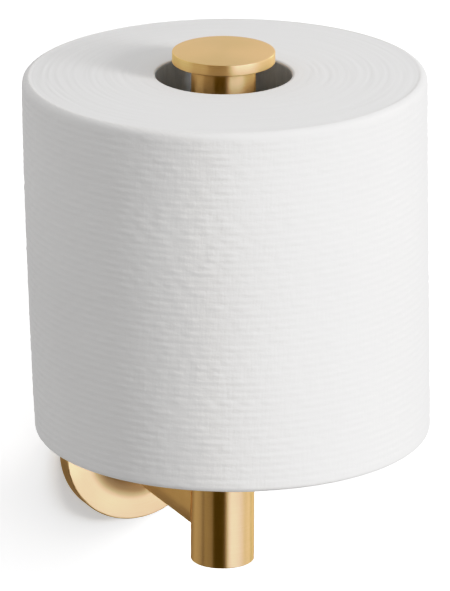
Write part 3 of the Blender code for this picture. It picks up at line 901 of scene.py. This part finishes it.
def make_bracket(steel):
    outer, thickness, base = half_width("wall_bracket"), reaches("wall_bracket")[1], 2.0 * MM
    inner = outer - 3.2 * MM
    groove, groove_half = 1.2 * MM, 1.5 * MM
    groove_height = thickness - groove_half - 0.1 * MM
    bracket = lathe(
        "bracket_pressed",
        [
            (0, 0),
            (outer, 0, 0.2 * MM, 3),
            (outer, groove_height - groove_half),
            (outer - groove, groove_height),
            (outer, groove_height + groove_half),
            (outer, thickness),
            (inner, thickness, 0.25 * MM, 3),
            (inner, base, 0.5 * MM, 4),
            (0, base),
        ],
        128, [steel], WALL_FRAME,
    )
    # A slot for each wall screw
    slot_reach, slot_radius = 1.2 * MM, 2.3 * MM
    low, high = -CUT_PAST, base + CUT_PAST
    cutters = []
    for side in ("left", "right"):
        centre = middle(f"wall_screw_{side}").x
        for x in (centre - slot_reach, centre + slot_reach):
            cutters.append(drill(slot_radius, low, high, Matrix.Translation((x, 0, 0)) @ WALL_FRAME))
        cutters.append(block((centre - slot_reach, -slot_radius, low),
                             (centre + slot_reach, slot_radius, high), WALL_FRAME))
    bored(bracket, *cutters)
    stands_for(bracket, "wall_bracket", "holder")


def make_wall_screw(side, steel):
    """A chipboard screw: coarse thread to the point, pan head with a cross recess."""
    node = f"wall_screw_{side}"
    head, shank, head_height = half_width(node), 2.0 * MM, 1.9 * MM
    point, top = reaches(node)
    seat = top - head_height
    place = Matrix.Translation((middle(node).x, 0, 0)) @ WALL_FRAME
    screw = lathe(
        f"{node}_threaded",
        [
            (0, point),
            (shank, point + 4 * MM),
            (shank, seat),
            (head, seat),
            (head, top, head_height / 2, 6),
            (0, top),
        ],
        40, [steel], place,
        thread=Thread(point, seat - 3 * MM, 1.8 * MM, 0.6 * MM),
    )
    long_half, short_half, depth = 2.3 * MM, 0.5 * MM, 1.1 * MM
    bored(
        screw,
        block((-long_half, -short_half, top - depth), (long_half, short_half, top + CUT_PAST), place),
        block((-short_half, -long_half, top - depth), (short_half, long_half, top + CUT_PAST), place),
    )
    stands_for(screw, node, "holder")


def make_wall_anchor(side, nylon):
    """A slit plug with barbs round it."""
    node = f"wall_anchor_{side}"
    outer, bore, barb = half_width(node), 2.3 * MM, 0.3 * MM
    far_end, mouth = reaches(node)
    pitch, barbs = 2.2 * MM, 9
    outline = [(bore, far_end), (outer - barb, far_end)]
    for k in range(barbs):
        start = far_end + (k + 0.5) * pitch
        outline += [(outer - barb, start), (outer, start + 0.7 * pitch)]
    outline += [
        (outer - barb, far_end + (barbs + 0.7) * pitch),
        (outer, mouth - 1 * MM),
        (outer, mouth),
        (bore, mouth),
    ]
    place = Matrix.Translation((middle(node).x, 0, 0)) @ WALL_FRAME
    anchor = lathe(f"{node}_barbed", outline, 48, [nylon], place=place)
    slit_half, slit_end = 0.4 * MM, far_end + 18 * MM
    bored(anchor, block((-slit_half, -2 * outer, far_end - CUT_PAST),
                        (slit_half, 2 * outer, slit_end), place))
    stands_for(anchor, node, "holder")


def make_set_screw(node, radius, length, place, steel):
    """A grub screw along local Z from its socket, with a cone point."""
    point, chamfer = 0.8 * MM, 0.2 * MM
    screw = lathe(
        f"{node}_threaded",
        [
            (0, 0),
            (radius - chamfer, 0),
            (radius, chamfer),
            (radius, length - point),
            (radius - point, length),
            (0, length),
        ],
        48, [steel], place,
        thread=Thread(chamfer, length - point, 0.6 * MM, 0.25 * MM),
    )
    bored(screw, hexagon_drill(1.1 * radius, -CUT_PAST, 1.6 * MM, place))
    stands_for(screw, node, "holder")


def make_flange_set_screw(steel):
    bottom, top = heights("flange_set_screw")
    centre = middle("flange_set_screw")
    place = Matrix.Translation((centre.x, centre.y, bottom))
    make_set_screw("flange_set_screw", half_width("flange_set_screw"), top - bottom, place, steel)


def make_arm_screw(steel):
    head, head_height = half_width("arm_screw"), 5.0 * MM
    back, tip = reaches("arm_screw")
    front, chamfer = back + head_height, 0.5 * MM
    screw = lathe(
        "arm_screw_threaded",
        [
            (0, back),
            (head, back, 0.4 * MM, 4),
            (head, front, 0.15 * MM, 2),
            (M6_RADIUS, front),
            (M6_RADIUS, tip - chamfer),
            (M6_RADIUS - chamfer, tip),
            (0, tip),
        ],
        64, [steel], WALL_FRAME,
        thread=Thread(tip - M6_GRIP, tip - chamfer, M6_PITCH, M6_DEPTH),
    )
    bored(screw, hexagon_drill(5.6 * MM, back - CUT_PAST, back + 2.8 * MM, WALL_FRAME))
    stands_for(screw, "arm_screw", "holder")


def make_lock_washer(steel):
    """A spring washer with one slit."""
    outer = half_width("arm_lock_washer")
    back, front = reaches("arm_lock_washer")
    washer = lathe(
        "arm_lock_washer_split",
        [
            (M6_CLEARANCE, back),
            (outer, back, 0.2 * MM, 3),
            (outer, front, 0.2 * MM, 3),
            (M6_CLEARANCE, front),
        ],
        96, [steel], WALL_FRAME,
    )
    slit_half, slit_turn = 0.3 * MM, 0.6
    cutter = block((0, -slit_half, back - CUT_PAST), (2 * outer, slit_half, front + CUT_PAST),
                   WALL_FRAME @ Matrix.Rotation(slit_turn, 4, "Z"))
    bored(washer, cutter)
    stands_for(washer, "arm_lock_washer", "holder")


def make_stud(node, start, end, place, steel):
    chamfer = 0.5 * MM
    stud = lathe(
        f"{node}_threaded",
        [
            (0, start),
            (M6_RADIUS - chamfer, start),
            (M6_RADIUS, start + chamfer),
            (M6_RADIUS, end - chamfer),
            (M6_RADIUS - chamfer, end),
            (0, end),
        ],
        64, [steel], place,
        thread=Thread(start + chamfer, end - chamfer, M6_PITCH, M6_DEPTH),
    )
    stands_for(stud, node, "holder")


def knurl(start, end):
    return Thread(start, end, STRAIGHT, 0.15 * MM, 48)


def make_post_foot(brass):
    """The pressed-in plug at the foot of the post, with a knurled band."""
    radius = half_width("post_foot")
    bottom, top = heights("post_foot")
    foot = lathe(
        "post_foot_knurled",
        [
            (0, bottom),
            (radius, bottom, 0.3 * MM, 3),
            (radius, top, 0.5 * MM, 3),
            (0, top),
        ],
        240, [brass], POST_FRAME,
        thread=knurl(bottom + 3 * MM, top - 3 * MM),
    )
    hole_end = POST_REACH - POST_RADIUS + M6_GRIP + 2 * MM
    bored(foot, drill(M6_CLEARANCE, POST_REACH - radius - CUT_PAST, hole_end, WALL_FRAME))
    stands_for(foot, "post_foot", "holder")


def make_top_insert(brass):
    """The pressed-in plug at the top of the post, with a knurled band and a spigot for the cap."""
    radius, spigot = half_width("post_top_insert"), 5.8 * MM
    bottom, top = heights("post_top_insert")
    seat = CAP_BOTTOM - 0.15 * MM
    insert = lathe(
        "post_top_insert_knurled",
        [
            (M6_CLEARANCE, bottom),
            (radius, bottom, 0.5 * MM, 3),
            (radius, top, 0.2 * MM, 3),
            (spigot, top),
            (spigot, seat),
            (M6_CLEARANCE, seat),
        ],
        240, [brass], POST_FRAME,
        thread=knurl(bottom + 2 * MM, top - 2 * MM),
    )
    stands_for(insert, "post_top_insert", "holder")


def make_rest(metal, steel):
    """The disc and its clamping hub, under the roll."""
    bottom, top = heights("roll_rest")
    outer, disc = half_width("roll_rest"), top - 3 * MM
    bore, hub = POST_RADIUS + 0.3 * MM, POST_RADIUS + 4 * MM
    rest = lathe(
        "roll_rest_turned",
        [
            (bore, bottom, 0.2 * MM, 3),
            (hub, bottom, 0.5 * MM, 6),
            (hub, disc, 1.0 * MM, 8),
            (outer, disc, 0.8 * MM, 6),
            (outer, top, 0.8 * MM, 6),
            (bore, top, 0.2 * MM, 3),
        ],
        160, [metal], POST_FRAME,
    )
    height, radius = middle("rest_set_screw").z, half_width("rest_set_screw")
    bored(rest, drill(radius + SCREW_ROOM, POST_REACH - hub - CUT_PAST, POST_REACH - POST_RADIUS,
                      Matrix.Translation((0, 0, height)) @ WALL_FRAME))
    stands_for(rest, "roll_rest", "holder")
    start, end = reaches("rest_set_screw")
    place = Matrix.Translation((POST_AXIS.x, -start, height)) @ WALL_FRAME
    make_set_screw("rest_set_screw", radius, end - start, place, steel)


def make_ring(acetal):
    """The ring that turns under the roll, with its collar inside the core."""
    bottom, top = heights("glide_ring")
    outer, flat = half_width("glide_ring"), bottom + 1.5 * MM
    bore, collar = POST_RADIUS + 0.3 * MM, CORE_INNER - 0.6 * MM
    collar_inner = collar - 2.0 * MM
    ring = lathe(
        "glide_ring_moulded",
        [
            (bore, bottom),
            (outer, bottom, 0.3 * MM, 4),
            (outer, flat, 0.5 * MM, 5),
            (collar, flat, 0.4 * MM, 4),
            (collar, top, 0.6 * MM, 6),
            (collar_inner, top, 0.6 * MM, 6),
            (collar_inner, flat, 0.4 * MM, 4),
            (bore, flat),
        ],
        160, [acetal], POST_FRAME,
    )
    stands_for(ring, "glide_ring", "turning_ring")


def make_inner_pieces(post_brass):
    steel = plated_steel("zinc_steel")
    nylon = moulded_plastic("grey_nylon", (0.36, 0.38, 0.40), (0.43, 0.45, 0.47), 0.5)
    acetal = moulded_plastic("white_acetal", (0.76, 0.76, 0.74), (0.82, 0.82, 0.80), 0.4)
    make_bracket(steel)
    for side in ("left", "right"):
        make_wall_screw(side, steel)
        make_wall_anchor(side, nylon)
    make_flange_set_screw(steel)
    make_arm_screw(steel)
    make_lock_washer(steel)
    make_stud("arm_stud", *reaches("arm_stud"), WALL_FRAME, steel)
    make_stud("cap_stud", *heights("cap_stud"), POST_FRAME, steel)
    brass = turned_brass("plain_brass")
    make_post_foot(brass)
    make_top_insert(brass)
    make_rest(post_brass, steel)
    make_ring(acetal)


# -------------------- the roll

ROLL_SEGMENTS = 360
SIDE_ROWS = 290
ROLL_EDGE = 2.3 * MM
ROLL_BORE = CORE_OUTER + 0.3 * MM
ROLL_MOUTH = CORE_INNER + 0.15 * MM  # the paper's soft lip covers the core's end
LIP_WIDTH, LIP_DROP = 0.9 * MM, 0.65 * MM
RIB_PERIOD = 2.2 * MM
RIB_HEIGHT = 0.115 * MM
RIB_FADE = 2.5 * MM  # how far from the roll's ends the ribs reach full height
RING_COUNT = 64  # how many rows of ribs, and wound rings, differ before they repeat
RING_LIFT, RING_WAVE, RING_LIMIT = 0.012 * MM, 0.019 * MM, 0.1 * MM
RING_SINK = 0.12 * MM  # keeps the highest wound ring inside the roll's length
OUT_OF_ROUND = 0.05 * MM
LEAN = Vector((0.909, -0.417)) * 3.1 * MM  # the outer wraps sit this far over at the bottom
TAPER = 0.95 * MM
SWELL = 0.5 * MM
BULGE = 0.2 * MM
DIP = 1.3 * MM  # the top sags this much at one side of its edge
DIP_TURN = math.radians(112)


def roll_outline():
    """(radius, height, part) points: from the hole's lower edge outwards, up, back in and down the hole."""
    low, high = ROLL_BOTTOM, ROLL_TOP
    lip, flank = ROLL_MOUTH + LIP_WIDTH, ROLL_RADIUS - ROLL_EDGE

    def quarter(radius, height, width, rise, quarters, steps, part):
        """A quarter turn round a centre, from a whole number of quarters on."""
        turns = [math.pi / 2 * (quarters + k / steps) for k in range(steps + 1)]
        return [(radius + width * math.cos(t), height + rise * math.sin(t), part) for t in turns]

    def flat(start, end, count, height):
        return [(float(r), height, "end") for r in np.linspace(start, end, count)[1:-1]]

    straight = high - low - 2 * ROLL_EDGE
    hole = np.linspace(high - LIP_DROP, low + LIP_DROP, 12)[1:-1]
    return [
        (ROLL_BORE, low + LIP_DROP, "end"),
        *quarter(lip, low + LIP_DROP, LIP_WIDTH, LIP_DROP, 2, 8, "end"),
        *flat(lip, flank, 40, low),
        *quarter(flank, low + ROLL_EDGE, ROLL_EDGE, ROLL_EDGE, -1, 12, "edge"),
        *((ROLL_RADIUS, low + ROLL_EDGE + straight * k / SIDE_ROWS, "side") for k in range(1, SIDE_ROWS)),
        *quarter(flank, high - ROLL_EDGE, ROLL_EDGE, ROLL_EDGE, 0, 12, "edge"),
        *flat(flank, lip, 80, high),
        *quarter(lip, high - LIP_DROP, LIP_WIDTH, LIP_DROP, 1, 8, "end"),
        (ROLL_BORE, high - LIP_DROP, "end"),
        *((ROLL_BORE, float(z), "bore") for z in hole),
    ]


def roll_mesh():
    """The wound paper: rounded edges, embossed ribs round its side, uneven wound edges on its ends."""
    low, high, flank = ROLL_BOTTOM, ROLL_TOP, ROLL_RADIUS - ROLL_EDGE
    rng = np.random.default_rng(7)
    turn = np.linspace(0, 2 * math.pi, ROLL_SEGMENTS, endpoint=False)

    def wave(count, low_n, high_n):
        """A smooth random closed curve round the roll."""
        total = np.zeros(ROLL_SEGMENTS)
        for n in rng.integers(low_n, high_n, count):
            total += rng.normal() * np.cos(n * turn + rng.uniform(0, 2 * math.pi))
        return total / math.sqrt(count)

    slow = wave(6, 1, 5)
    rib_strength = [wave(14, 8, 80) for _ in range(RING_COUNT)]
    ring_waves = [wave(6, 2, 9) for _ in range(RING_COUNT)]

    def ribs(z):
        """How far the embossing moves the side in or out at one height."""
        rows_up = (z - low) / RIB_PERIOD
        fade = np.clip(min(z - low, high - z) / RIB_FADE, 0, 1)
        amount = np.clip(0.7 + 0.55 * rib_strength[int(rows_up) % RING_COUNT], 0.0, 1.5)
        rib = 0.5 - 0.5 * math.cos(2 * math.pi * rows_up)
        double = 0.5 - 0.5 * math.cos(math.pi * rows_up)
        return fade * (RIB_HEIGHT * (rib + 0.35 * double) * amount - 1.35 * RIB_HEIGHT)

    def wound_rings(share, up):
        """How far the wound edges of an end stand out at one share of the way to the rim."""
        ring = math.sin(share * 97.0) + 0.7 * math.sin(share * 41.0 + 1.3)
        lift = (RING_LIFT * ring + RING_WAVE * ring_waves[int(share * 60)]) * min(1, 6 * share + 0.2)
        return up * (np.minimum(lift, RING_LIMIT) - RING_SINK)

    outline = roll_outline()
    verts = []
    for r, z, part in outline:
        radius, lift = np.full(ROLL_SEGMENTS, r), np.zeros(ROLL_SEGMENTS)
        share = min(1.0, max(0.0, (r - ROLL_MOUTH - LIP_WIDTH) / (ROLL_RADIUS - ROLL_MOUTH - LIP_WIDTH)))
        if part in ("side", "edge"):
            radius = radius + ribs(z)
        if part == "end":
            lift = wound_rings(share, 1 if z > (low + high) / 2 else -1)
        fall = 1 - (z - low) / (high - low)
        radius = radius + share * (OUT_OF_ROUND * slow + SWELL + BULGE * 4 * fall * (1 - fall) - TAPER * fall)
        aside = LEAN * share * (0.12 + 0.88 * fall ** 1.4)
        lift = lift - share * share * (1 - fall) * DIP * (0.5 + 0.5 * np.cos(turn - DIP_TURN)) ** 1.5
        for k in range(ROLL_SEGMENTS):
            verts.append((radius[k] * math.cos(turn[k]) + aside.x,
                          radius[k] * math.sin(turn[k]) + aside.y, z + lift[k]))

    faces, slots = [], []
    for i, (radius, _, part) in enumerate(outline):
        j = (i + 1) % len(outline)
        is_end = part in ("end", "bore") and min(radius, outline[j][0]) < flank
        for k in range(ROLL_SEGMENTS):
            n = (k + 1) % ROLL_SEGMENTS
            faces.append((i * ROLL_SEGMENTS + k, i * ROLL_SEGMENTS + n,
                          j * ROLL_SEGMENTS + n, j * ROLL_SEGMENTS + k))
            slots.append(1 if is_end else 0)
    mesh = bpy.data.meshes.new("paper_roll_soft")
    mesh.from_pydata(verts, [], faces)
    mesh.transform(POST_FRAME)
    mesh.shade_smooth()
    return mesh, slots


def make_roll():
    mesh, slots = roll_mesh()
    roll = add_object("paper_roll_soft", mesh, [tissue(), wound_ends()])
    mesh.polygons.foreach_set("material_index", slots)
    stands_for(roll, "paper_roll", "roll")


def make_core():
    low, high = heights("cardboard_core")
    edge = 0.2 * MM
    core = lathe(
        "core_tube",
        [
            (CORE_INNER, low, edge, 3),
            (CORE_OUTER, low, edge, 3),
            (CORE_OUTER, high, edge, 3),
            (CORE_INNER, high, edge, 3),
        ],
        160, [cardboard()], POST_FRAME,
    )
    stands_for(core, "cardboard_core", "roll")


make_camera()
set_view()
make_world()
casters, post_brass = make_outer_metal()
make_inner_pieces(post_brass)
make_roll()
make_core()
wall = make_stage()
make_lights(wall, casters)
